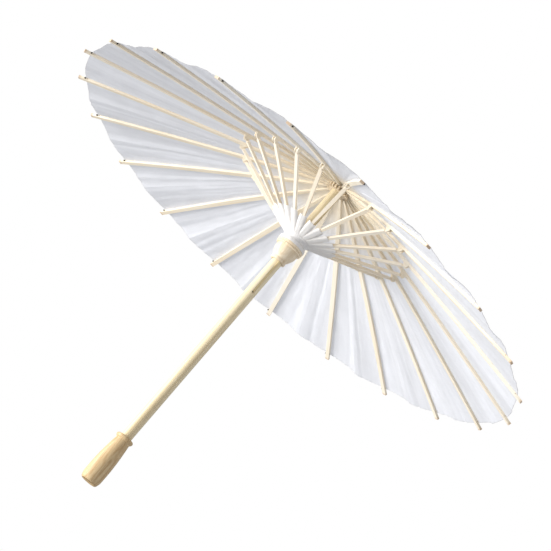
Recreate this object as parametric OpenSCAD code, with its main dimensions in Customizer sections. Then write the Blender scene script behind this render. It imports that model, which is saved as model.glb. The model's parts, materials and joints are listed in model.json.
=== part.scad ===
// Oil paper parasol, open, standing on the butt of its handle with the crown up.
// Rib 1 lies along +X and the others follow counter-clockwise seen from above.

/* [Canopy] */
// Distance from the axis to the middle of a rib's outer end
rim_r = 300; // [240:1:360]
// Height of the rib ends above the handle's butt
rim_z = 337; // [320:1:350]
// Rise of each rib above the straight line between its ends
rib_bow = 2; // [1:0.5:5]
// Length of bare rib outside the paper's edge
tip_bare = 8; // [4:0.5:14]
// Thickness of the paper shells
paper_t = 0.3; // [0.2:0.05:0.6]

/* [Ribs and stretchers] */
// Full width of a rib
rib_w = 5.6; // [4:0.1:5.6]
// Width of a rib's outer end
tip_w = 4.8; // [3.6:0.1:5.6]
// Depth of a rib
rib_d = 2.6; // [2.4:0.1:4]
// Thickness of the thin ends that work in slots
tongue_t = 1.7; // [1.4:0.1:1.8]
// Full width of a stretcher
stretcher_w = 4; // [3:0.1:4.2]
// Depth of a stretcher
stretcher_d = 3; // [2.6:0.1:3.2]
// Distance from the axis to the pins between ribs and stretchers
pin_ring_r = 112; // [100:0.5:120]
// Depth of those pins below the middle of the rib
pin_drop = 3.2; // [2.8:0.1:3.4]
// Radius of those pins
pin_r = 0.75; // [0.6:0.05:0.9]
// Radius of the knuckle that carries a pin
knuckle_r = 2.4; // [2:0.1:2.6]
// Width of the knuckle
knuckle_w = 4.6; // [4:0.1:4.8]

/* [Shaft] */
// Radius of the shaft
shaft_r = 6.25; // [5:0.05:6.5]
// Distance from the shaft's surface out to the threads that ribs and stretchers swing on
tie_out = 5.75; // [5.5:0.05:7]
// Height of the ribs' thread above the butt
crown_z = 416; // [405:1:430]
// Height of the stretchers' thread above the butt, with the parasol open
runner_z = 342; // [332:1:350]

/* [Crown] */
// Wood outside the thread in the crown
hub_wall = 2.2; // [1.8:0.1:3]
// Length of the crown below the ribs' thread
hub_below = 5.5; // [4:0.5:6]
// Length of the crown above the ribs' thread
hub_above = 10; // [8:0.5:14]
// Radius of the finial
finial_r = 7.5; // [5:0.5:10]
// Height of the finial above the crown
finial_h = 14; // [8:0.5:20]
// Outer radius of the paper cap over the crown
cap_r = 25; // [20:1:34]

/* [Runner] */
// Wood outside the thread in the runner's slotted head
head_wall = 2.2; // [1.8:0.1:3]
// How far the runner's widest ring stands out from that head
ring_out = 1.8; // [1.3:0.1:3]
// Wall of the runner's lower end
foot_wall = 2; // [1.6:0.1:3]
// Length of the runner below the stretchers' thread
runner_below = 33; // [28:1:38]
// Length of the runner above the stretchers' thread
runner_above = 4; // [3:0.5:5]

/* [Handle] */
// Length of the handle
handle_l = 60; // [56:1:80]
// Radius of the grip's straight part
grip_r = 11.2; // [10.5:0.1:13]
// Height where the grip's straight part starts
grip_z = 8; // [6:1:12]
// Length of the grip's straight part
grip_l = 12; // [8:1:14]
// Wall of the neck round the shaft, under the top bead
neck_wall = 2.2; // [2:0.1:3.2]
// How far the top bead stands out from the neck
bead_out = 1.9; // [1.2:0.1:2.4]
// Radius of the butt face
butt_r = 9.8; // [8:0.1:10.4]

/* [Catch] */
// Length of the spring catch
catch_l = 42; // [30:1:50]
// Width of the spring catch
catch_w = 2; // [1.4:0.1:2.4]
// How far its tooth stands out of the shaft
catch_out = 2.2; // [1.5:0.1:2.6]
// Direction that the catch faces, counter-clockwise from rib 1
catch_az = 80; // [0:1:359]

/* [Fits] */
// Gap on each side of a thin end in its slot
slot_gap = 0.2; // [0.1:0.05:0.3]
// Radial gap around pins and threads that turn
turn_gap = 0.1; // [0.05:0.01:0.15]
// Radial gap of glued joints
glue_gap = 0.05; // [0.02:0.01:0.1]
// Radial gap between the shaft and the runner
slide_gap = 0.75; // [0.4:0.05:1]
// Play of the stretchers' inner ends in the runner, in and out
inner_play = 2.3; // [2.2:0.1:2.4]
// Gap between the paper and the wood under it
paper_gap = 0.3; // [0.2:0.05:0.5]

/* [Hidden] */
rib_count = 21;
function two(i) = i < 10 ? str("0", i) : str(i);
ribs = [for (i = [1:rib_count]) str("rib_", two(i))];
stretchers = [for (i = [1:rib_count]) str("stretcher_", two(i))];

$fn = 96;
arc_fn = 720;
small_fn = 32;
rib_pitch = 360 / rib_count;

// What goes round the shaft takes its radius from it
tie_r = shaft_r + tie_out;
hub_r = tie_r + hub_wall;
runner_head_r = tie_r + head_wall;
runner_r = runner_head_r + ring_out;
runner_foot_r = shaft_r + slide_gap + foot_wall;
neck_r = shaft_r + glue_gap + neck_wall;
bead_r = neck_r + bead_out;

// Threads and their knots
tie_wire_r = 0.5;
rim_wire_r = 0.35;
knot_r = 0.7;
knot_at_r = max(hub_r, runner_head_r) + knot_r + glue_gap;

// The rib's own frame: u runs from the crown's thread to the rib's end, v runs up across it.
rib_run = rim_r - tie_r;
rib_fall = crown_z - rim_z;
rib_l = norm([rib_run, rib_fall]);
rib_slope = atan2(rib_fall, rib_run);
bow_r = (rib_l * rib_l / 4 + rib_bow * rib_bow) / (2 * rib_bow);
bow_span = 2 * asin(rib_l / 2 / bow_r);
function bow_v(u) = sqrt(bow_r * bow_r - pow(u - rib_l / 2, 2)) - bow_r + rib_bow;
function rib_point(u, off) = [
    tie_r + u * cos(rib_slope) + (bow_v(u) + off) * sin(rib_slope),
    crown_z - u * sin(rib_slope) + (bow_v(u) + off) * cos(rib_slope)];

// The pin's place in the rib's frame, and in the plane of the rib
pin_u = (pin_ring_r - tie_r - (bow_v((pin_ring_r - tie_r) / cos(rib_slope)) - pin_drop)
    * sin(rib_slope)) / cos(rib_slope);
pin_v = bow_v(pin_u) - pin_drop;
pin_z = crown_z - pin_u * sin(rib_slope) + pin_v * cos(rib_slope);
hub_tongue_l = hub_below + 1.5;
hub_end_w = tongue_t + 0.4;
full_w_at = 95;
taper_from = rib_l * 0.6;
knuckle_in = 7;
knuckle_out = 2.6;
slot_w = tongue_t + 2 * slot_gap;
slot_roof = stretcher_d / 2 + 0.4;
slot_in = 3.5;
rim_hole_u = (rim_r - tip_bare - 2 - tie_r) / cos(rib_slope);
rim_hole_v = bow_v(rim_hole_u) + 0.4;

// The stretcher's own frame: u runs from the runner's thread to the pin.
stretcher_l = norm([pin_ring_r - tie_r, pin_z - runner_z]);
stretcher_slope = atan2(pin_z - runner_z, pin_ring_r - tie_r);
inner_tongue = 6.5;
inner_w = 2.2;
full_stretcher_at = 70;
outer_tongue = 4;
shoulder = 1;
function stretcher_point(u, off) = [
    tie_r + u * cos(stretcher_slope) - off * sin(stretcher_slope),
    runner_z + u * sin(stretcher_slope) + off * cos(stretcher_slope)];

// Crown, runner, handle and catch
hub_slot_floor = tie_r - rib_d / 2 - 0.4;
shaft_top = crown_z + 3;
shaft_foot = 22;
finial_peg_r = 3;
finial_peg_l = 5;
runner_slot_floor = tie_r - stretcher_d / 2 - inner_play - 0.2;
runner_slot_z = runner_z - stretcher_d / 2 - 0.5;
runner_foot_z = runner_z - runner_below;
catch_top = runner_foot_z - 0.5;
catch_t = 1.6;
catch_deep = shaft_r - 0.25;
catch_slot_r = shaft_r - catch_deep + 1.2;
catch_eye = 1.5;
catch_eye_r = 3.4;
collar_from = 7;
collar_to = 33;

function ease(a, b, t) = a + (b - a) * (1 - cos(180 * t)) / 2;
function eased(r0, z0, r1, z1, n) =
    [for (i = [1:n]) [ease(r0, r1, i / n), z0 + (z1 - z0) * i / n]];
function rounded(r0, z0, r1, z1, n) =
    [for (i = [1:n]) [r0 + (r1 - r0) * sin(90 * i / n), z0 + (z1 - z0) * i / n]];
function tapered(r0, z0, r1, z1, n) =
    [for (i = [1:n]) [r0 + (r1 - r0) * pow(i / n, 1.6), z0 + (z1 - z0) * i / n]];
function arc(r, z, rad, a0, a1, n) =
    [for (i = [0:n]) [r + rad * cos(a0 + (a1 - a0) * i / n), z + rad * sin(a0 + (a1 - a0) * i / n)]];

// Puts a piece that is drawn in the XZ plane at rib number i
module at_rib(i) {
    rotate([0, 0, (i - 1) * rib_pitch]) children();
}

// Stands an outline that is drawn in radius and height upright, w thick about the plane
module upright(w) {
    rotate([90, 0, 0]) translate([0, 0, -w / 2]) linear_extrude(w) children();
}

// A bar along Y through a point of the XZ plane
module cross_bar(x, z, r, l) {
    translate([x, l / 2, z]) rotate([90, 0, 0]) cylinder(r = r, h = l, $fn = small_fn);
}

module ring(r, z, wire_r) {
    translate([0, 0, z]) rotate_extrude() translate([r, 0]) circle(r = wire_r, $fn = small_fn);
}

// Places what is drawn along a rib's own u and v
module in_rib_frame() {
    translate([tie_r, 0, crown_z]) rotate([0, rib_slope, 0]) children();
}

// Places what is drawn along a stretcher's own u and v
module in_stretcher_frame() {
    translate([tie_r, 0, runner_z]) rotate([0, -stretcher_slope, 0]) children();
}

// The bowed strip that a rib is cut from
module rib_strip() {
    translate([rib_l / 2, 0, rib_bow - bow_r])
        rotate([90, 0, 0])
            rotate([0, 0, 90 - bow_span / 2])
                rotate_extrude(angle = bow_span, $fn = arc_fn)
                    translate([bow_r - rib_d / 2, -rib_w / 2]) square([rib_d, rib_w]);
}

// The rib seen from above: thin in the crown, then widening to full width
module rib_plan() {
    translate([0, 0, -rib_d * 2]) linear_extrude(rib_d * 4 + rib_bow)
        polygon([[-rib_d, tongue_t / 2], [hub_tongue_l, tongue_t / 2],
            [hub_tongue_l + 1, hub_end_w / 2], [full_w_at, rib_w / 2],
            [taper_from, rib_w / 2], [rib_l, tip_w / 2], [rib_l + rib_d, tip_w / 2],
            [rib_l + rib_d, -tip_w / 2], [rib_l, -tip_w / 2], [taper_from, -rib_w / 2],
            [full_w_at, -rib_w / 2], [hub_tongue_l + 1, -hub_end_w / 2],
            [hub_tongue_l, -tongue_t / 2], [-rib_d, -tongue_t / 2]]);
}

// The knuckle under a rib, with the boss that the pin goes through
module knuckle() {
    under = pin_v + pin_drop - rib_d / 2 + 0.3;
    cross_bar(pin_u, pin_v, knuckle_r, knuckle_w);
    upright(knuckle_w) polygon([[pin_u - knuckle_in, under], [pin_u + knuckle_out, under],
        [pin_u + knuckle_r * 0.6, pin_v - knuckle_r * 0.8],
        [pin_u - knuckle_r * 0.6, pin_v - knuckle_r * 0.8]]);
}

module rib(i) {
    color("wheat") at_rib(i) in_rib_frame() difference() {
        union() {
            intersection() {
                union() {
                    rib_strip();
                    cross_bar(0, 0, rib_d / 2, tongue_t);
                }
                rib_plan();
            }
            knuckle();
        }
        translate([pin_u - slot_in, -slot_w / 2, pin_v - knuckle_r * 2])
            cube([slot_in + knuckle_out + 1.5, slot_w, knuckle_r * 2 + slot_roof]);
        cross_bar(pin_u, pin_v, pin_r + turn_gap, rib_w * 2);
        cross_bar(0, 0, tie_wire_r + turn_gap, rib_w * 2);
        cross_bar(rim_hole_u, rim_hole_v, rim_wire_r + turn_gap * 2, rib_w * 2);
    }
}

// The stretcher seen from above
module stretcher_plan() {
    end = stretcher_l + stretcher_d;
    neck = stretcher_l - outer_tongue;
    translate([0, 0, -stretcher_d]) linear_extrude(stretcher_d * 2)
        polygon([[-stretcher_d, tongue_t / 2], [inner_tongue, tongue_t / 2],
            [inner_tongue + 1, inner_w / 2], [full_stretcher_at, stretcher_w / 2],
            [neck - shoulder, stretcher_w / 2], [neck, tongue_t / 2], [end, tongue_t / 2],
            [end, -tongue_t / 2], [neck, -tongue_t / 2], [neck - shoulder, -stretcher_w / 2],
            [full_stretcher_at, -stretcher_w / 2], [inner_tongue + 1, -inner_w / 2],
            [inner_tongue, -tongue_t / 2], [-stretcher_d, -tongue_t / 2]]);
}

module stretcher(i) {
    color("wheat") at_rib(i) in_stretcher_frame() difference() {
        intersection() {
            union() {
                translate([0, -stretcher_w, -stretcher_d / 2])
                    cube([stretcher_l, stretcher_w * 2, stretcher_d]);
                cross_bar(0, 0, stretcher_d / 2, stretcher_w * 2);
                cross_bar(stretcher_l, 0, stretcher_d / 2, stretcher_w * 2);
            }
            stretcher_plan();
        }
        cross_bar(0, 0, tie_wire_r + turn_gap, stretcher_w * 2);
        cross_bar(stretcher_l, 0, pin_r + glue_gap, stretcher_w * 2);
    }
    color("tan") at_rib(i) in_stretcher_frame()
        cross_bar(stretcher_l, 0, pin_r, knuckle_w - slot_gap * 2);
}

module shaft() {
    color("khaki") difference() {
        translate([0, 0, shaft_foot]) cylinder(r = shaft_r, h = shaft_top - shaft_foot);
        rotate([0, 0, catch_az])
            translate([catch_slot_r, -catch_w / 2 - slot_gap, catch_top - catch_l - catch_eye - 1])
                cube([shaft_r, catch_w + 2 * slot_gap, catch_l + catch_eye + 2.5]);
    }
}

module handle() {
    bead = 1.9;
    outline = concat(
        [[0, 0], [butt_r - 1.2, 0], [butt_r, 1.2]],
        rounded(butt_r, 1.2, grip_r, grip_z, 10),
        [[grip_r, grip_z + grip_l]],
        tapered(grip_r, grip_z + grip_l, neck_r, handle_l - 2 * bead - 1.2, 14),
        [[bead_r - 0.6, handle_l - 2 * bead + 0.2]],
        arc(bead_r - bead, handle_l - bead, bead, -40, 90, 12),
        [[0, handle_l]]);
    color("burlywood") difference() {
        rotate_extrude() polygon(outline);
        translate([0, 0, shaft_foot - glue_gap])
            cylinder(r = shaft_r + glue_gap, h = handle_l);
    }
}

module crown_hub() {
    top = crown_z + hub_above;
    color("burlywood") difference() {
        rotate_extrude() polygon(concat(
            [[0, crown_z - hub_below], [hub_r - 0.8, crown_z - hub_below],
                [hub_r, crown_z - hub_below + 0.8]],
            arc(hub_r - 2, top - 2, 2, 0, 90, 8), [[0, top]]));
        translate([0, 0, crown_z - hub_below - 1])
            cylinder(r = shaft_r + glue_gap, h = shaft_top + glue_gap - crown_z + hub_below + 1);
        for (i = [1:rib_count])
            at_rib(i) translate([hub_slot_floor, -slot_w / 2, crown_z - hub_below - 1])
                cube([hub_r, slot_w, hub_below + 1 + rib_d / 2 + 0.6]);
        ring(tie_r, crown_z, tie_wire_r + turn_gap);
        translate([0, 0, top - finial_peg_l])
            cylinder(r = finial_peg_r + glue_gap, h = finial_peg_l + 1);
    }
}

module crown_tie() {
    color("white") ring(tie_r, crown_z, tie_wire_r);
}

// A knot of the thread, outside the wood between ribs 1 and 2
module knot(z) {
    color("white") rotate([0, 0, rib_pitch / 2]) translate([knot_at_r, 0, z])
        sphere(r = knot_r, $fn = small_fn);
}

module crown_knot() {
    knot(crown_z);
}

module crown_cap() {
    top = crown_z + hub_above + glue_gap;
    side = hub_r + paper_gap;
    skirt = rib_point((cap_r - tie_r) / cos(rib_slope), rib_d / 2 + 2 * paper_gap + paper_t);
    break_z = crown_z + rib_d / 2 + 5;
    color("whitesmoke") rotate_extrude() polygon([
        [finial_peg_r + glue_gap, top], [side - 1, top], [side, top - 1.4], [side, break_z],
        skirt, skirt + [0.1, paper_t], [side + paper_t, break_z + paper_t],
        [side + paper_t, top - 1.2], [side - 0.8, top + paper_t],
        [finial_peg_r + glue_gap, top + paper_t]]);
}

module finial() {
    base = crown_z + hub_above + 2 * glue_gap + paper_t;
    ball = finial_r * 0.72;
    color("burlywood") union() {
        translate([0, 0, base]) rotate_extrude() polygon(concat(
            [[0, 0], [finial_r - 0.6, 0]],
            arc(finial_r - 0.9, 0.9, 0.9, -60, 90, 8),
            eased(finial_r - 0.9, 1.8, finial_r * 0.45, finial_h * 0.32, 6),
            arc(0, finial_h - ball, ball, -50, 90, 14)));
        translate([0, 0, base - finial_peg_l])
            cylinder(r = finial_peg_r, h = finial_peg_l + 1);
    }
}

module canopy() {
    steps = 14;
    low = rib_d / 2 + paper_gap;
    inner_u = knot_at_r + knot_r + paper_gap - tie_r;
    outer_u = (rim_r - tip_bare - tie_r) / cos(rib_slope);
    function u_at(k) = inner_u + (outer_u - inner_u) * k / steps;
    color("whitesmoke") rotate_extrude() polygon(concat(
        [for (k = [0:steps]) rib_point(u_at(k), low)],
        [for (k = [steps:-1:0]) rib_point(u_at(k), low + paper_t)]));
}

module rim_thread() {
    at = [tie_r + rim_hole_u * cos(rib_slope) + rim_hole_v * sin(rib_slope),
        crown_z - rim_hole_u * sin(rib_slope) + rim_hole_v * cos(rib_slope)];
    color("gray") ring(at[0], at[1], rim_wire_r);
}

module runner() {
    foot = runner_foot_z;
    ring_z = runner_z - 13;
    barrel_r = runner_r - 2.6;
    fillet = 3;
    bead = 0.9;
    outline = concat(
        [[0, foot], [runner_foot_r - 0.6, foot], [runner_foot_r, foot + 0.6],
            [runner_foot_r, foot + 2.6], [runner_foot_r - 0.5, foot + 3.1]],
        rounded(runner_foot_r - 0.5, foot + 3.1, barrel_r, ring_z - 4, 14),
        [[barrel_r, ring_z - 2.2]],
        arc(runner_r - 0.4 - bead, ring_z - 1.2, bead, -60, 60, 6),
        [[runner_r - 1.2, ring_z + 0.1], [runner_r, ring_z + 0.6]],
        arc(runner_r - fillet, ring_z + 8 - fillet, fillet, 0, 65, 10),
        [[runner_head_r, ring_z + 8], [runner_head_r, runner_z + runner_above - 1],
            [runner_head_r - 1, runner_z + runner_above], [0, runner_z + runner_above]]);
    color("burlywood") difference() {
        rotate_extrude() polygon(outline);
        translate([0, 0, foot - 1])
            cylinder(r = shaft_r + slide_gap, h = runner_below + runner_above + 2);
        for (i = [1:rib_count])
            at_rib(i) translate([runner_slot_floor, -slot_w / 2, runner_slot_z])
                cube([runner_r, slot_w, runner_above + stretcher_d]);
        ring(tie_r, runner_z, tie_wire_r + turn_gap);
    }
}

module runner_tie() {
    color("white") ring(tie_r, runner_z, tie_wire_r);
}

module runner_knot() {
    knot(runner_z);
}

module stretcher_paper() {
    low = -stretcher_d / 2 - paper_gap;
    color("white") rotate_extrude() polygon([
        stretcher_point(collar_from, low), stretcher_point(collar_to, low),
        stretcher_point(collar_to, low - paper_t), stretcher_point(collar_from, low - paper_t)]);
}

module catch_spring() {
    tooth = shaft_r + catch_out;
    back = shaft_r - 0.35;
    foot = catch_top - catch_l;
    color("tan") rotate([0, 0, catch_az]) union() {
        upright(catch_w) polygon([[back - catch_t, foot], [back, foot],
            [back, catch_top - 9], [tooth, catch_top - 1.2], [tooth, catch_top],
            [back - catch_t, catch_top]]);
        cross_bar(back - catch_t / 2, foot, catch_t / 2, catch_w);
    }
}

shaft();
handle();
crown_hub();
crown_tie();
crown_knot();
crown_cap();
finial();
canopy();
rim_thread();
runner();
runner_tie();
runner_knot();
stretcher_paper();
catch_spring();
for (i = [1:rib_count]) rib(i);
for (i = [1:rib_count]) stretcher(i);
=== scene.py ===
import json
from math import atan2, cos, hypot, pi, radians, sin

import bpy
import numpy as np
from mathutils import Matrix, Vector, noise


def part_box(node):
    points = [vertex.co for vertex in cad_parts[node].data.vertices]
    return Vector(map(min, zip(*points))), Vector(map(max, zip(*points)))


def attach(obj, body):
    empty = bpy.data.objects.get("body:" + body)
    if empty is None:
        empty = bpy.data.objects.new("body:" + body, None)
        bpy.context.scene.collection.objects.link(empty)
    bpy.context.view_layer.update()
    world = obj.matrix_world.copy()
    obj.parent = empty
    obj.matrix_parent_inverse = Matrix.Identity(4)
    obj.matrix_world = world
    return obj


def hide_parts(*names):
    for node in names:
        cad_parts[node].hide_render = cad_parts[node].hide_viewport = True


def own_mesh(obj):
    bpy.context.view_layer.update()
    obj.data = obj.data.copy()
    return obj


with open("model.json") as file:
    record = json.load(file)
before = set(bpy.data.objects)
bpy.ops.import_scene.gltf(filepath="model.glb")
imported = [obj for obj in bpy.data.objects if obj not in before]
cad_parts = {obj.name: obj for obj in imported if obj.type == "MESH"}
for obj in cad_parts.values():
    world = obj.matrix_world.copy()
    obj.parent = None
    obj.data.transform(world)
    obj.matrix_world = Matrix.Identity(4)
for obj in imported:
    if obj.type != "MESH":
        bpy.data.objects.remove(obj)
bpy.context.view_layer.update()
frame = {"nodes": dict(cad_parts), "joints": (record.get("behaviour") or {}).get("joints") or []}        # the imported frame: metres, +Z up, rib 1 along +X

rng = np.random.default_rng(21)

# ---------------------------------------------------------------- sizes from the frame

joints = {j["name"]: j for j in frame["joints"]}
RIBS = sorted(n for n in frame["nodes"] if n.startswith("rib_"))
STRETCHERS = sorted(n for n in frame["nodes"] if n.startswith("stretcher_") and n[-1].isdigit())
PITCH = 2 * pi / len(RIBS)

THREAD_R = hypot(*joints["canopy_fold"]["pos_m"][:2])
CROWN_Z = joints["canopy_fold"]["pos_m"][2]
RUNNER_Z = joints["guide_bottom"]["pos_m"][2]
PIN_R = hypot(*joints["swing_01"]["pos_m"][:2])
PIN_Z = joints["swing_01"]["pos_m"][2]

RIB_D = 0.0026
RIB_W = 0.0056
RIB_BOW = 0.002
STRETCHER_D = 0.003
PAPER_T = 0.00025
PAPER_GAP = 0.0002
PAPER_FROM_R = 0.0152
BARE_TIP = 0.008
COLLAR_FROM, COLLAR_TO = 0.0042, 0.033
STRIP_W = 0.0092


def rib_end():
    """Middle of a rib's outer end as radius and height, and the rib's slope below level."""
    low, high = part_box(RIBS[0])
    slope = 0.0
    for _ in range(6):
        r = high.x - RIB_D / 2 * sin(slope)
        z = low.z + RIB_D / 2 * cos(slope)
        slope = atan2(CROWN_Z - z, r - THREAD_R)
    return r, z, slope


RIM_R, RIM_Z, RIB_SLOPE = rib_end()
RIB_L = hypot(RIM_R - THREAD_R, CROWN_Z - RIM_Z)
BOW_R = (RIB_L ** 2 / 4 + RIB_BOW ** 2) / (2 * RIB_BOW)
STRETCHER_SLOPE = atan2(PIN_Z - RUNNER_Z, PIN_R - THREAD_R)
EDGE_U = (RIM_R - BARE_TIP - THREAD_R) / cos(RIB_SLOPE)
START_U = (PAPER_FROM_R - THREAD_R) / cos(RIB_SLOPE)


def rib_line(u, off):
    """Radius and height of the point u along a rib and off above its middle."""
    v = np.sqrt(BOW_R ** 2 - (u - RIB_L / 2) ** 2) - BOW_R + RIB_BOW + off
    r = THREAD_R + u * cos(RIB_SLOPE) + v * sin(RIB_SLOPE)
    return r, CROWN_Z - u * sin(RIB_SLOPE) + v * cos(RIB_SLOPE)


def stretcher_line(u, off):
    """Radius and height of the point u along a stretcher and off above its middle."""
    r = THREAD_R + u * cos(STRETCHER_SLOPE) - off * sin(STRETCHER_SLOPE)
    return r, RUNNER_Z + u * sin(STRETCHER_SLOPE) + off * cos(STRETCHER_SLOPE)


def at(r, z, az):
    """The point at that radius and height, in the direction az."""
    return np.array([r * cos(az), r * sin(az), z])


def tangent(k):
    """The direction round the shaft at rib or stretcher number k."""
    return -sin(k * PITCH), cos(k * PITCH), 0.0


# ---------------------------------------------------------------- meshes

def mesh_piece(name, points, faces, smooth=True, flat_from=None):
    """A mesh object. Faces from number flat_from on are shaded flat, so that cut edges stay crisp."""
    mesh = bpy.data.meshes.new(name)
    mesh.from_pydata([tuple(p) for p in points], [], faces)
    flat_from = len(faces) if flat_from is None else flat_from
    mesh.polygons.foreach_set("use_smooth", [smooth and i < flat_from for i in range(len(faces))])
    mesh.update()
    obj = bpy.data.objects.new(name, mesh)
    bpy.context.scene.collection.objects.link(obj)
    return obj


def grid_normals(grid):
    """A unit normal at each point of a rows x columns x 3 grid."""
    down = np.gradient(grid, axis=0)
    across = np.gradient(grid, axis=1)
    n = np.cross(down, across)
    return n / np.linalg.norm(n, axis=-1, keepdims=True)


def sheet_piece(name, grid, thickness, closed=False):
    """A solid sheet of that thickness on a grid of points. closed joins its last column to its first."""
    rows, columns = grid.shape[:2]
    if closed:
        wide = grid_normals(np.concatenate([grid[:, -1:], grid, grid[:, :1]], axis=1))
        n = wide[:, 1:-1]
    else:
        n = grid_normals(grid)
    points = np.concatenate([
        (grid + n * thickness / 2).reshape(-1, 3),
        (grid - n * thickness / 2).reshape(-1, 3)])
    back = rows * columns
    steps = columns if closed else columns - 1
    faces = []
    for i in range(rows - 1):
        for j in range(steps):
            a, b = i * columns + j, i * columns + (j + 1) % columns
            c, d = b + columns, a + columns
            faces.append((a, b, c, d))
            faces.append((back + d, back + c, back + b, back + a))
    edge_from = len(faces)
    for i in (0, rows - 1):
        for j in range(steps):
            a, b = i * columns + j, i * columns + (j + 1) % columns
            face = (a, back + a, back + b, b)
            faces.append(face if i == 0 else face[::-1])
    if not closed:
        for j in (0, columns - 1):
            for i in range(rows - 1):
                a, b = i * columns + j, (i + 1) * columns + j
                face = (a, b, back + b, back + a)
                faces.append(face if j == 0 else face[::-1])
    return mesh_piece(name, points, faces, flat_from=edge_from)


def tube_piece(name, path, radius, sides=8):
    """A closed tube along a path."""
    path = np.asarray(path)
    ahead = np.gradient(path, axis=0)
    ahead /= np.linalg.norm(ahead, axis=1, keepdims=True)
    side = np.cross(ahead, [0.0, 0.0, 1.0])
    side /= np.linalg.norm(side, axis=1, keepdims=True)
    over = np.cross(side, ahead)
    turn = np.arange(sides) * 2 * pi / sides
    rings = path[:, None] + radius * (
        np.cos(turn)[None, :, None] * side[:, None] + np.sin(turn)[None, :, None] * over[:, None])
    faces = [
        (i * sides + j, i * sides + (j + 1) % sides,
         (i + 1) * sides + (j + 1) % sides, (i + 1) * sides + j)
        for i in range(len(path) - 1) for j in range(sides)]
    faces.append(tuple(range(sides))[::-1])
    faces.append(tuple((len(path) - 1) * sides + j for j in range(sides)))
    return mesh_piece(name, rings.reshape(-1, 3), faces)


def bead_piece(name, centre, radii, roughness, seed):
    """A small irregular bead, such as a pulled knot."""
    rings, sides = 10, 14
    points = [(0, 0, 1)]
    for i in range(1, rings):
        polar = pi * i / rings
        for j in range(sides):
            turn = 2 * pi * j / sides
            points.append((sin(polar) * cos(turn), sin(polar) * sin(turn), cos(polar)))
    points.append((0, 0, -1))
    faces = [(0, 1 + j, 1 + (j + 1) % sides) for j in range(sides)]
    for i in range(rings - 2):
        for j in range(sides):
            a, b = 1 + i * sides + j, 1 + i * sides + (j + 1) % sides
            faces.append((a, a + sides, b + sides, b))
    last, first = len(points) - 1, 1 + (rings - 2) * sides
    faces += [(first + j, last, first + (j + 1) % sides) for j in range(sides)]
    shaped = []
    for p in points:
        bump = 1 + roughness * noise.noise(Vector(p) * 2.2 + Vector((seed, 0, 0)))
        shaped.append([centre[k] + p[k] * radii[k] * bump for k in range(3)])
    return mesh_piece(name, shaped, faces)


# ---------------------------------------------------------------- materials

class Nodes:
    """A material's node tree, with short calls for the nodes used here."""

    def __init__(self, name):
        self.material = bpy.data.materials.new(name)
        self.material.use_nodes = True
        self.tree = self.material.node_tree
        self.shader = self.tree.nodes["Principled BSDF"]
        self.output = self.tree.nodes["Material Output"]

    def new(self, kind, **settings):
        node = self.tree.nodes.new(kind)
        for key, value in settings.items():
            setattr(node, key, value)
        return node

    def put(self, socket, value):
        if isinstance(value, bpy.types.NodeSocket):
            self.tree.links.new(value, socket)
        else:
            socket.default_value = value

    def math(self, operation, *values):
        node = self.new("ShaderNodeMath", operation=operation)
        for socket, value in zip(node.inputs, values):
            self.put(socket, value)
        return node.outputs[0]

    def vector(self, x, y, z):
        node = self.new("ShaderNodeCombineXYZ")
        for socket, value in zip(node.inputs, (x, y, z)):
            self.put(socket, value)
        return node.outputs[0]

    def place(self):
        """x, y and z on the piece at rest."""
        where = self.new("ShaderNodeTexCoord").outputs["Object"]
        split = self.new("ShaderNodeSeparateXYZ")
        self.put(split.inputs[0], where)
        return split.outputs

    def scaled(self, parts, scales):
        """A vector of those parts, each times its own scale."""
        return self.vector(*(self.math("MULTIPLY", part, scale) for part, scale in zip(parts, scales)))

    def radius(self, x, y):
        return self.math("SQRT", self.math("ADD", self.math("MULTIPLY", x, x), self.math("MULTIPLY", y, y)))

    def noise(self, where, scale=1.0, detail=4.0, roughness=0.55, distortion=0.0):
        node = self.new("ShaderNodeTexNoise")
        self.put(node.inputs["Vector"], where)
        node.inputs["Scale"].default_value = scale
        node.inputs["Detail"].default_value = detail
        node.inputs["Roughness"].default_value = roughness
        node.inputs["Distortion"].default_value = distortion
        return node.outputs[0]

    def between(self, value, low, high, to_low=0.0, to_high=1.0):
        """value taken from low..high to to_low..to_high, smoothly and clamped."""
        node = self.new("ShaderNodeMapRange", interpolation_type="SMOOTHSTEP")
        for socket, v in zip(node.inputs, (value, low, high, to_low, to_high)):
            self.put(socket, v)
        return node.outputs[0]

    def mix(self, share, a, b, blend="MIX"):
        node = self.new("ShaderNodeMix", data_type="RGBA", blend_type=blend)
        self.put(node.inputs["Factor"], share)
        self.put(node.inputs["A"], a)
        self.put(node.inputs["B"], b)
        return node.outputs["Result"]

    def bump(self, height, distance, strength=1.0, under=None):
        node = self.new("ShaderNodeBump")
        self.put(node.inputs["Height"], height)
        node.inputs["Distance"].default_value = distance
        node.inputs["Strength"].default_value = strength
        if under is not None:
            self.put(node.inputs["Normal"], under)
        return node.outputs[0]

    def surface(self, colour, roughness, specular, normal):
        """Sets the shader and returns the material."""
        self.put(self.shader.inputs["Base Color"], colour)
        self.put(self.shader.inputs["Roughness"], roughness)
        self.put(self.shader.inputs["Specular IOR Level"], specular)
        self.put(self.shader.inputs["Normal"], normal)
        return self.material


def linear(level):
    """A screen level, 0 to 255, made linear."""
    return ((level / 255 + 0.055) / 1.055) ** 2.4 if level > 10 else level / 3295


def rgb(red, green, blue):
    """A colour given in screen levels."""
    return linear(red), linear(green), linear(blue), 1.0


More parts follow.
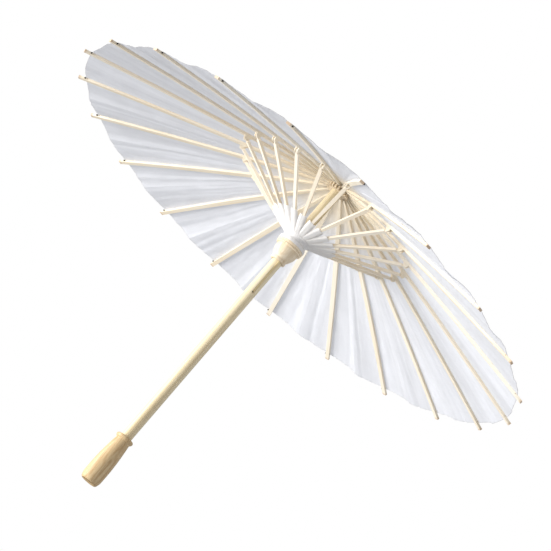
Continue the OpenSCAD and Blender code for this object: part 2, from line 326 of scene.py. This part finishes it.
def stick_place(m, slope):
    """Along, across and up a stick that leaves the axis at that slope, its number, and the radius."""
    x, y, z = m.place()
    r = m.radius(x, y)
    turn = m.math("ARCTAN2", y, x)
    number = m.math("ROUND", m.math("DIVIDE", turn, PITCH))
    across = m.math("MULTIPLY", r, m.math("SUBTRACT", turn, m.math("MULTIPLY", number, PITCH)))
    along = m.math("ADD", m.math("MULTIPLY", r, cos(slope)), m.math("MULTIPLY", z, sin(slope)))
    up = m.math("SUBTRACT", m.math("MULTIPLY", z, cos(slope)), m.math("MULTIPLY", r, sin(slope)))
    return along, across, up, number, r


def bamboo(name, slope, light, dark, tip_r=None):
    """Split bamboo: long fibres, a tone of its own for each stick, and painted shade browning the ends near
    tip_r.
    """
    m = Nodes(name)
    along, across, up, number, r = stick_place(m, slope)
    shift = m.math("MULTIPLY", number, 3.7)
    shifted = m.math("ADD", m.math("MULTIPLY", along, 22.0), shift)
    fibres = m.noise(m.scaled((shifted, across, up), (1.0, 1500.0, 1500.0)), detail=5.0, roughness=0.6)
    bands = m.noise(m.scaled((along, shift, across), (9.0, 1.0, 160.0)), detail=3.0)
    tone = m.noise(m.vector(shift, 0.5, 0.5), detail=0.0)
    share = m.math("ADD", m.between(fibres, 0.35, 0.72, 0.0, 0.45), m.between(bands, 0.35, 0.75, 0.0, 0.3))
    share = m.math("ADD", share, m.between(tone, 0.3, 0.7, -0.12, 0.25))
    streak_noise = m.noise(m.scaled((along, across, shift), (14.0, 2600.0, 1.0)), detail=2.0)
    streaks = m.between(streak_noise, 0.66, 0.8, 0.0, 0.35)
    colour = m.mix(streaks, m.mix(share, light, dark), rgb(168, 128, 82))
    if tip_r is not None:
        # painted shade: the outer ends turn browner, standing in for the shaded sides of the bare rib tips
        painted_tip_shade = m.between(r, tip_r - 0.004, tip_r, 0.0, 0.5)
        colour = m.mix(painted_tip_shade, colour, rgb(178, 130, 82))
    return m.surface(colour, m.between(fibres, 0.3, 0.75, 0.42, 0.66), 0.35, m.bump(fibres, 0.00012, 0.6))


def lathe_wood(name, light, dark, ring_pitch, ring_depth):
    """Wood turned on a lathe: grain along the axis, darker pores, and fine tool rings round it."""
    m = Nodes(name)
    place = m.place()
    grain = m.noise(m.scaled(place, (420.0, 420.0, 26.0)), detail=6.0, roughness=0.62, distortion=0.4)
    years = m.noise(m.scaled(place, (90.0, 60.0, 7.0)), detail=2.0, roughness=0.5, distortion=1.2)
    bands = m.math("SINE", m.math("MULTIPLY", years, 46.0))
    share = m.math("ADD", m.between(grain, 0.32, 0.7, 0.0, 0.55), m.between(bands, -0.6, 1.0, 0.0, 0.35))
    pore_noise = m.noise(m.scaled(place, (1500.0, 1500.0, 60.0)), detail=2.0)
    pores = m.between(pore_noise, 0.64, 0.78, 0.0, 0.35)
    colour = m.mix(pores, m.mix(share, light, dark), rgb(140, 98, 58))
    wobble = m.math("MULTIPLY", grain, 1.4)
    rings = m.math("SINE", m.math("ADD", m.math("MULTIPLY", place[2], 2 * pi / ring_pitch), wobble))
    normal = m.bump(rings, ring_depth, 0.8, m.bump(grain, 0.00015, 0.5))
    return m.surface(colour, m.between(grain, 0.3, 0.7, 0.4, 0.62), 0.4, normal)


def stick_wood(name, light, dark):
    """A straight planed stick of pale wood, with its grain along +Z and a few darker flecks."""
    m = Nodes(name)
    place = m.place()
    grain = m.noise(m.scaled(place, (700.0, 700.0, 12.0)), detail=6.0, roughness=0.6, distortion=0.3)
    broad = m.noise(m.scaled(place, (130.0, 130.0, 5.0)), detail=3.0)
    share = m.math("ADD", m.between(grain, 0.33, 0.7, 0.0, 0.6), m.between(broad, 0.35, 0.7, 0.0, 0.35))
    fleck_noise = m.noise(m.scaled(place, (2200.0, 2200.0, 90.0)), detail=2.0)
    flecks = m.between(fleck_noise, 0.68, 0.8, 0.0, 0.4)
    colour = m.mix(flecks, m.mix(share, light, dark), rgb(160, 118, 70))
    return m.surface(colour, m.between(grain, 0.3, 0.7, 0.38, 0.6), 0.4, m.bump(grain, 0.00015, 0.6))


def paper(name, tint, inner_tint, warm_r, see_through):
    """Thin paper that light comes through: long fibres, cloudy thickness, crumples, a warmer middle,
    painted crease shade.
    """
    m = Nodes(name)
    x, y, z = m.place()
    where = m.vector(x, y, z)
    r = m.radius(x, y)
    turn = m.math("DIVIDE", m.math("ARCTAN2", y, x), PITCH)
    cloud = m.noise(where, 40.0, detail=5.0, roughness=0.6)
    # painted shade: radial streaks and darker half gores stand in for light falling on the creases; cloud
    # and fibre are the paper's own tone
    painted_ridge_shade = m.noise(m.scaled((turn, r, z), (9.0, 9.0, 1.0)), detail=3.0, roughness=0.6, distortion=0.3)
    painted_panel_shade = m.noise(m.vector(m.math("MULTIPLY", turn, 2.0), 0.3, 0.7), detail=1.0)
    fibre = m.noise(where, 900.0, detail=3.0, roughness=0.7, distortion=2.5)
    crumple = m.noise(where, 160.0, detail=4.0, roughness=0.65, distortion=0.6)
    shade = 1.0
    for change in (m.between(cloud, 0.3, 0.7, -0.015, 0.015), m.between(fibre, 0.35, 0.7, -0.02, 0.02),
                   m.between(painted_ridge_shade, 0.3, 0.7, -0.025, 0.025), m.between(painted_panel_shade, 0.3, 0.7, -0.04, 0.02)):
        shade = m.math("ADD", shade, change)
    warm = m.between(r, warm_r * 0.35, warm_r, 1.0, 0.0)
    colour = m.mix(1.0, m.mix(warm, tint, inner_tint), m.vector(shade, shade, shade), "MULTIPLY")
    normal = m.bump(crumple, 0.0006, 0.35, m.bump(fibre, 0.00004, 0.5))
    m.surface(colour, m.between(crumple, 0.3, 0.7, 0.5, 0.72), 0.25, normal)
    behind = m.new("ShaderNodeBsdfTranslucent")
    m.put(behind.inputs["Color"], colour)
    m.put(behind.inputs["Normal"], normal)
    mixed = m.new("ShaderNodeMixShader")
    mixed.inputs["Fac"].default_value = see_through
    m.put(mixed.inputs[1], m.shader.outputs[0])
    m.put(mixed.inputs[2], behind.outputs[0])
    m.put(m.output.inputs["Surface"], mixed.outputs[0])
    return m.material


def thread(name, light, dark, pitch):
    """Twisted cotton thread."""
    m = Nodes(name)
    x, y, z = m.place()
    fuzz = m.noise(m.vector(x, y, z), 2600.0, detail=3.0, roughness=0.7)
    slanted = m.math("ADD", m.math("ADD", x, y), m.math("MULTIPLY", z, 1.6))
    twist = m.math("SINE", m.math("MULTIPLY", slanted, 2 * pi / pitch))
    height = m.math("ADD", twist, fuzz)
    colour = m.mix(m.between(height, -0.6, 1.4), dark, light)
    return m.surface(colour, m.between(fuzz, 0.3, 0.7, 0.75, 0.95), 0.2, m.bump(height, 0.00012, 0.7))


CANOPY_PAPER = paper("canopy_paper", rgb(236, 237, 240), rgb(242, 236, 225), 0.11, 0.43)
COLLAR_PAPER = paper("collar_paper", rgb(248, 247, 246), rgb(248, 247, 246), 0.02, 0.3)
CAP_PAPER = paper("cap_paper", rgb(242, 242, 246), rgb(236, 228, 214), 0.018, 0.25)
RIB_BAMBOO = bamboo("rib_bamboo", -RIB_SLOPE, rgb(248, 241, 225), rgb(230, 212, 181), RIM_R)
STRETCHER_BAMBOO = bamboo("stretcher_bamboo", STRETCHER_SLOPE, rgb(247, 239, 224), rgb(231, 214, 186))
CATCH_BAMBOO = stick_wood("catch_bamboo", rgb(232, 214, 168), rgb(206, 178, 124))
SHAFT_WOOD = stick_wood("shaft_wood", rgb(236, 224, 194), rgb(214, 192, 148))
HANDLE_WOOD = lathe_wood("handle_wood", rgb(218, 194, 152), rgb(186, 152, 106), 0.0009, 0.00006)
RUNNER_WOOD = lathe_wood("runner_wood", rgb(238, 224, 200), rgb(218, 197, 163), 0.0011, 0.00007)
WHITE_THREAD = thread("white_thread", rgb(238, 234, 224), rgb(196, 188, 172), 0.0008)
RIM_THREAD = thread("rim_thread", rgb(206, 206, 206), rgb(160, 160, 162), 0.0008)
BLACK_THREAD = thread("black_thread", rgb(52, 48, 46), rgb(18, 16, 16), 0.0005)


def finish_node(name, material):
    node = frame["nodes"][name]
    node.data.materials.clear()
    node.data.materials.append(material)


for name in RIBS:
    finish_node(name, RIB_BAMBOO)
for name in STRETCHERS:
    finish_node(name, STRETCHER_BAMBOO)
for name, material in {
        "shaft": SHAFT_WOOD, "handle": HANDLE_WOOD, "crown_hub": RUNNER_WOOD, "finial": HANDLE_WOOD,
        "runner": RUNNER_WOOD, "crown_tie": WHITE_THREAD, "runner_tie": WHITE_THREAD,
        "crown_knot": WHITE_THREAD, "runner_knot": WHITE_THREAD, "catch_spring": CATCH_BAMBOO}.items():
    finish_node(name, material)


# ---------------------------------------------------------------- canopy paper

APEX = np.array([0.0, 0.0, CROWN_Z + THREAD_R * np.tan(RIB_SLOPE)])
FLAT_BY_RIB = 0.004
FLUTTER, RIPPLE, CREASE = 0.0003, 0.00022, 0.0004

gore_sag = rng.uniform(0.0012, 0.0028, len(RIBS))
gore_bulge = rng.uniform(0.0005, 0.0016, len(RIBS))

# Four folds run out along each gore: the share of the way across, the height, and the half width.
folds = [
    [(rng.uniform(0.14, 0.44), rng.uniform(-0.0009, 0.0009), rng.uniform(0.05, 0.10)),
     (rng.uniform(0.26, 0.40), rng.uniform(0.0004, 0.0010), rng.uniform(0.03, 0.06)),
     (rng.uniform(0.58, 0.72), rng.uniform(-0.0010, 0.0008), rng.uniform(0.04, 0.09)),
     (rng.uniform(0.72, 0.88), rng.uniform(-0.0007, 0.0009), rng.uniform(0.05, 0.10))]
    for _ in RIBS]


def smooth_step(share):
    """0 below 0, 1 above 1, and a smooth rise between them."""
    share = min(1.0, max(0.0, share))
    return share * share * (3 - 2 * share)


def gore_depth(gore, w, u, point):
    """How far the paper stands out of the flat gore at w and u: it hangs in first, then swells."""
    reach = u / EDGE_U
    if w < 0.5:
        depth = -gore_sag[gore] * sin(pi * w) ** 1.4
    else:
        x = 2 * w - 1
        depth = -gore_sag[gore] * (1 - x) ** 5 + gore_bulge[gore] * sin(pi * x)
    depth *= reach ** 1.6
    for middle, height, half_width in folds[gore]:
        bend = 0.025 * sin(u * 21 + 9 * middle)
        depth += height * max(0.0, 1 - abs(w - middle - bend) / half_width) * reach ** 0.8
    flutter = noise.noise(Vector(point) * 34 + Vector((0, 0, 7.0)))
    ripple = noise.noise(Vector((w * 16 + 31 * gore, u * 22, 3.3)))
    crease = abs(noise.noise(Vector((w * 9 + 17 * gore, u * 34, 8.1)))) - 0.2
    return depth + (FLUTTER * flutter + RIPPLE * ripple + CREASE * crease) * min(1.0, reach * 2.2)


def gore_point(gore, w, u):
    """A point of the paper between rib number gore and the next, at share w of the way and u along them."""
    r, z = rib_line(u, RIB_D / 2 + PAPER_GAP + PAPER_T / 2)
    here, there = at(r, z, gore * PITCH), at(r, z, (gore + 1) * PITCH)
    out = here + (there - here) * w - APEX
    point = APEX + out * (np.linalg.norm(here - APEX) / np.linalg.norm(out))
    normal = np.cross(here - APEX, there - here)
    normal /= np.linalg.norm(normal)
    off_rib = min(w, 1 - w) * np.linalg.norm(there - here) - RIB_W / 2
    return point + normal * gore_depth(gore % len(RIBS), w, u, point) * smooth_step(off_rib / FLAT_BY_RIB)


def with_borders(low, high, count, border):
    """count even points from low to high, and one more close inside each end to keep its edge crisp."""
    even = np.linspace(low, high, count)
    return np.concatenate([even[:1], [low + border], even[1:-1], [high - border], even[-1:]])


def gore_grid(k, rows, columns):
    """The paper from half way before rib number k to half way after it."""
    shares = with_borders(-0.5, 0.5, columns, 0.002)
    lengths = with_borders(START_U, EDGE_U, rows, 0.00015)
    grid = np.empty((len(lengths), len(shares), 3))
    for j, share in enumerate(shares):
        gore, w = (k - 1, 1 + share) if share < 0 else (k, share)
        for i, u in enumerate(lengths):
            grid[i, j] = gore_point(gore, w, u)
    return grid


def ride_and_fold(piece, body):
    """The piece rides on that body and gets a mesh of its own."""
    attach(piece, body)
    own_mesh(piece)


GORE_ROWS, GORE_COLUMNS = 64, 41
RIM_THREAD_R = 0.00016
KNOT_RADII = (0.0008, 0.0008, 0.0009)
PAST_EDGE = 0.0008
OFF_RIB = 0.0004

for k, rib in enumerate(RIBS):
    grid = gore_grid(k, GORE_ROWS, GORE_COLUMNS)
    gore = sheet_piece(f"canopy_gore_{rib[-2:]}", grid, PAPER_T)
    gore.data.materials.append(CANOPY_PAPER)
    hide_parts("canopy")
    ride_and_fold(gore, rib)

    edge = tube_piece(f"rim_thread_{rib[-2:]}", grid[-1], RIM_THREAD_R)
    edge.data.materials.append(RIM_THREAD)
    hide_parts("rim_thread")
    ride_and_fold(edge, rib)

    r, z = rib_line(EDGE_U + PAST_EDGE, RIB_D * 0.1)
    centre = at(r, z, k * PITCH) + np.array(tangent(k)) * (RIB_W / 2 + OFF_RIB)
    knot = bead_piece(f"rim_knot_{rib[-2:]}", centre, KNOT_RADII, 0.5, k * 1.7)
    knot.data.materials.append(BLACK_THREAD)
    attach(knot, rib)


# ---------------------------------------------------------------- paper collar on the stretchers


FLAT_STRIP, STRIP_LIFT, STRIP_ROUGH = 0.0012, 0.0016, 0.00018


def strip_point(k, across, v):
    """A point of the strip under stretcher number k: across runs from -1 to 1 over it and v along it."""
    r, z = stretcher_line(v, -STRETCHER_D / 2 - PAPER_GAP - PAPER_T / 2)
    half = min(STRIP_W / 2, r * sin(PITCH / 2) * 0.98)
    side = across * half * (1 - max(0.0, v / COLLAR_TO - 0.9))
    past = max(0.0, abs(side) - FLAT_STRIP) / (STRIP_W / 2 - FLAT_STRIP)
    rough = noise.noise(Vector((k * 5.1 + across * 1.3, v * 260, 2.0)))
    lift = (STRIP_LIFT * past ** 1.3 + STRIP_ROUGH * rough) * min(1.0, past + 0.05)
    outwards = at(r - lift * sin(STRETCHER_SLOPE), z + lift * cos(STRETCHER_SLOPE), k * PITCH)
    return outwards + np.array(tangent(k)) * side


STRIP_ROWS, STRIP_COLUMNS = 22, 15
strip_across = with_borders(-1, 1, STRIP_COLUMNS, 0.02)
strip_along = with_borders(COLLAR_FROM, COLLAR_TO, STRIP_ROWS, 0.0001)

for k, stretcher in enumerate(STRETCHERS):
    grid = np.empty((len(strip_along), len(strip_across), 3))
    longer, slant = 0.0016 * (rng.random() - 0.5), 0.0012 * (rng.random() - 0.5)
    for j, across in enumerate(strip_across):
        for i, v in enumerate(strip_along):
            out_share = (v - COLLAR_FROM) / (COLLAR_TO - COLLAR_FROM)
            grid[i, j] = strip_point(k, across, v + (longer + slant * across) * out_share)
    strip = sheet_piece(f"collar_{stretcher[-2:]}", grid, PAPER_T)
    strip.data.materials.append(COLLAR_PAPER)
    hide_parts("stretcher_paper")
    ride_and_fold(strip, stretcher)


def quartered(profile):
    """The profile's points, with each stretch between two of them cut in four."""
    dense = [(r0 + (r1 - r0) * t, z0 + (z1 - z0) * t)
             for (r0, z0), (r1, z1) in zip(profile, profile[1:]) for t in (0.0, 0.25, 0.5, 0.75)]
    return dense + [profile[-1]]


def zigzag(turns):
    """1 at each whole number, 0 half way between, and straight lines from one to the other."""
    return abs(turns % 1 - 0.5) * 2


def band_piece(name, profile, pleat):
    """A closed strip of paper round the runner along radii and heights, pleated more towards its top."""
    per_pleat = 6
    columns = 2 * len(STRETCHERS) * per_pleat
    dense = quartered(profile)
    grid = np.empty((len(dense), columns, 3))
    for i, (r, z) in enumerate(dense):
        up_share = i / (len(dense) - 1)
        for j in range(columns):
            az = 2 * pi * j / columns
            rough = 0.00012 * noise.noise(Vector((cos(az) * 9, sin(az) * 9, z * 700)))
            grid[i, j] = at(r + pleat * zigzag(j / per_pleat) * up_share + abs(rough), z + rough, az)
    band = sheet_piece(name, grid, PAPER_T, closed=True)
    band.data.materials.append(COLLAR_PAPER)
    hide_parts("stretcher_paper")
    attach(band, "runner")
    return band


DISC_R, DISC_Z, DISC_ROUND = 0.013, RUNNER_Z - 0.008, 0.0032
BAND_R, BAND_Z = 0.01445, RUNNER_Z - 0.0046
over_disc = [(DISC_R + DISC_ROUND * cos(radians(a)), DISC_Z + DISC_ROUND * sin(radians(a)))
             for a in (0, 20, 40, 58)]
wrap = [(DISC_R + DISC_ROUND, DISC_Z - 0.0022)] + over_disc + [(BAND_R, BAND_Z + 0.0002)]
band_piece("collar_wrap", wrap, 0.0)
band = band_piece("collar_band", [
    (BAND_R, BAND_Z), (BAND_R, RUNNER_Z - 0.0028), (0.0149, RUNNER_Z - 0.0015),
    (0.0160, RUNNER_Z - 0.0005), (0.0171, RUNNER_Z + 0.0001)], 0.0004)
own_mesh(band)


# ---------------------------------------------------------------- paper cap over the crown

cap_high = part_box("crown_cap")[1]
CAP_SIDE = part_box("crown_hub")[1].x + 0.0004
SKIRT_FROM = (CAP_SIDE + 0.0003, CROWN_Z + RIB_D / 2 + 0.0014)
CAP_HOLE_R = 0.0032
CAP_PLEAT = 0.00013
SKIRT_PLEAT = 0.0005


def cap_grid(pleats=42, per_pleat=4):
    """The cap as rings of points: over the crown's top and down its side."""
    top = cap_high.z - PAPER_T / 2
    dense = quartered([
        (CAP_HOLE_R, top), (CAP_SIDE * 0.6, top), (CAP_SIDE - 0.0014, top - 0.0001),
        (CAP_SIDE - 0.0003, top - 0.0006), (CAP_SIDE, top - 0.002), SKIRT_FROM])
    columns = pleats * per_pleat
    grid = np.empty((len(dense), columns, 3))
    for i, (r, z) in enumerate(dense):
        pleated = min(1.0, max(0.0, (r - CAP_HOLE_R) / CAP_SIDE))
        for j in range(columns):
            lift = CAP_PLEAT * ((2 * zigzag(j / per_pleat) - 1) * pleated + 1)
            grid[i, j] = at(r + lift * 0.3, z + lift, 2 * pi * j / columns)
    return grid


def skirt_point(k, share, t):
    """A point of the cap's skirt over rib number k, share of a pitch beside it and t of the way out."""
    end_u = (cap_high.x - THREAD_R) / cos(RIB_SLOPE)
    end_r, end_z = rib_line(end_u, RIB_D / 2 + 3 * PAPER_GAP + 2 * PAPER_T)
    r = SKIRT_FROM[0] + (end_r - 0.0004 - SKIRT_FROM[0]) * t
    z = SKIRT_FROM[1] + (end_z - SKIRT_FROM[1]) * t
    az = (k + share) * PITCH
    pleat = SKIRT_PLEAT * t * (1 - 4 * abs(abs(share) - 0.25))
    rough = 0.0003 * t * noise.noise(Vector((cos(az) * 6, sin(az) * 6, t * 3)))
    return at(r, z + pleat + rough, az)


cap = sheet_piece("crown_cap_paper", cap_grid(), PAPER_T, closed=True)
cap.data.materials.append(CAP_PAPER)
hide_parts("crown_cap")
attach(cap, "root")

skirt_across = with_borders(-0.5, 0.5, 13, 0.01)
skirt_out = with_borders(0, 1, 9, 0.01)
for k, rib in enumerate(RIBS):
    grid = np.array([[skirt_point(k, share, t) for share in skirt_across] for t in skirt_out])
    skirt = sheet_piece(f"cap_skirt_{rib[-2:]}", grid, PAPER_T)
    skirt.data.materials.append(CAP_PAPER)
    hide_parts("crown_cap")
    ride_and_fold(skirt, rib)


# ---------------------------------------------------------------- camera, light and floor

AZIMUTH, ELEVATION, ROLL = radians(156.13), radians(-15.518), radians(40.652)
DISTANCE = 2.43103
LENS, SENSOR = 149.09, 36.0
ASIDE, ABOVE = 0.01933, 0.03514

back = Vector((sin(AZIMUTH) * cos(ELEVATION), -cos(AZIMUTH) * cos(ELEVATION), sin(ELEVATION)))
level = Vector((0, 0, 1)).cross(back).normalized()
upright = back.cross(level)
right = level * cos(ROLL) + upright * sin(ROLL)
up = upright * cos(ROLL) - level * sin(ROLL)
target = Vector((0, 0, RIM_Z))

camera = bpy.data.objects.new("camera", bpy.data.cameras.new("camera"))
bpy.context.scene.collection.objects.link(camera)
stand = target + back * DISTANCE - right * ASIDE - up * ABOVE
camera.matrix_world = Matrix.Translation(stand) @ Matrix((right, up, back)).transposed().to_4x4()
camera.data.lens = LENS
camera.data.sensor_width = SENSOR
camera.data.clip_start = 0.05
camera.data.clip_end = 50.0
bpy.context.scene.camera = camera


def area_light(name, direction, distance, size, energy, colour):
    """A round soft light in that direction from the middle of the canopy, facing it."""
    light = bpy.data.lights.new(name, "AREA")
    light.shape = "DISK"
    light.size = size
    light.energy = energy
    light.color = colour
    obj = bpy.data.objects.new(name, light)
    bpy.context.scene.collection.objects.link(obj)
    towards = direction.normalized()
    obj.location = target + towards * distance
    obj.rotation_mode = "QUATERNION"
    obj.rotation_quaternion = (-towards).to_track_quat("-Z", "Y")


area_light("key", right * -0.86 + up * 0.4 + back * 0.22, 2.2, 1.5, 84.0, (1.0, 0.985, 0.965))
area_light("top", Vector((-0.35, -0.2, 0.9)), 2.0, 1.4, 38.0, (0.985, 0.99, 1.0))

world = bpy.data.worlds.new("studio")
world.use_nodes = True
bpy.context.scene.world = world
tree = world.node_tree
seen = tree.nodes["Background"]
seen.inputs["Color"].default_value = (1, 1, 1, 1)
seen.inputs["Strength"].default_value = 1.0
fill = tree.nodes.new("ShaderNodeBackground")
fill.inputs["Color"].default_value = (0.975, 0.98, 1.0, 1)
fill.inputs["Strength"].default_value = 0.53
path = tree.nodes.new("ShaderNodeLightPath")
choose = tree.nodes.new("ShaderNodeMixShader")
tree.links.new(path.outputs["Is Camera Ray"], choose.inputs["Fac"])
tree.links.new(fill.outputs[0], choose.inputs[1])
tree.links.new(seen.outputs[0], choose.inputs[2])
tree.links.new(choose.outputs[0], tree.nodes["World Output"].inputs["Surface"])


def floor_material():
    """Pale and matt from above, and clear from below, because the camera looks up through it."""
    m = Nodes("floor")
    x, y, z = m.place()
    speckle = m.noise(m.vector(x, y, z), 40.0, 4.0)
    colour = m.mix(m.between(speckle, 0.3, 0.7), rgb(236, 236, 236), rgb(240, 240, 240))
    m.put(m.shader.inputs["Base Color"], colour)
    m.shader.inputs["Roughness"].default_value = 0.9
    clear = m.new("ShaderNodeBsdfTransparent")
    side = m.new("ShaderNodeNewGeometry")
    mixed = m.new("ShaderNodeMixShader")
    m.put(mixed.inputs["Fac"], side.outputs["Backfacing"])
    m.put(mixed.inputs[1], m.shader.outputs[0])
    m.put(mixed.inputs[2], clear.outputs[0])
    m.put(m.output.inputs["Surface"], mixed.outputs[0])
    return m.material


FLOOR = 6.0
corners = [(-FLOOR, -FLOOR, 0), (FLOOR, -FLOOR, 0), (FLOOR, FLOOR, 0), (-FLOOR, FLOOR, 0)]
floor = mesh_piece("floor", corners, [(0, 1, 2, 3)], smooth=False)
floor.data.materials.append(floor_material())
floor.visible_shadow = False
floor.visible_diffuse = False
floor.visible_transmission = False

bpy.context.scene.view_settings.view_transform = "Standard"
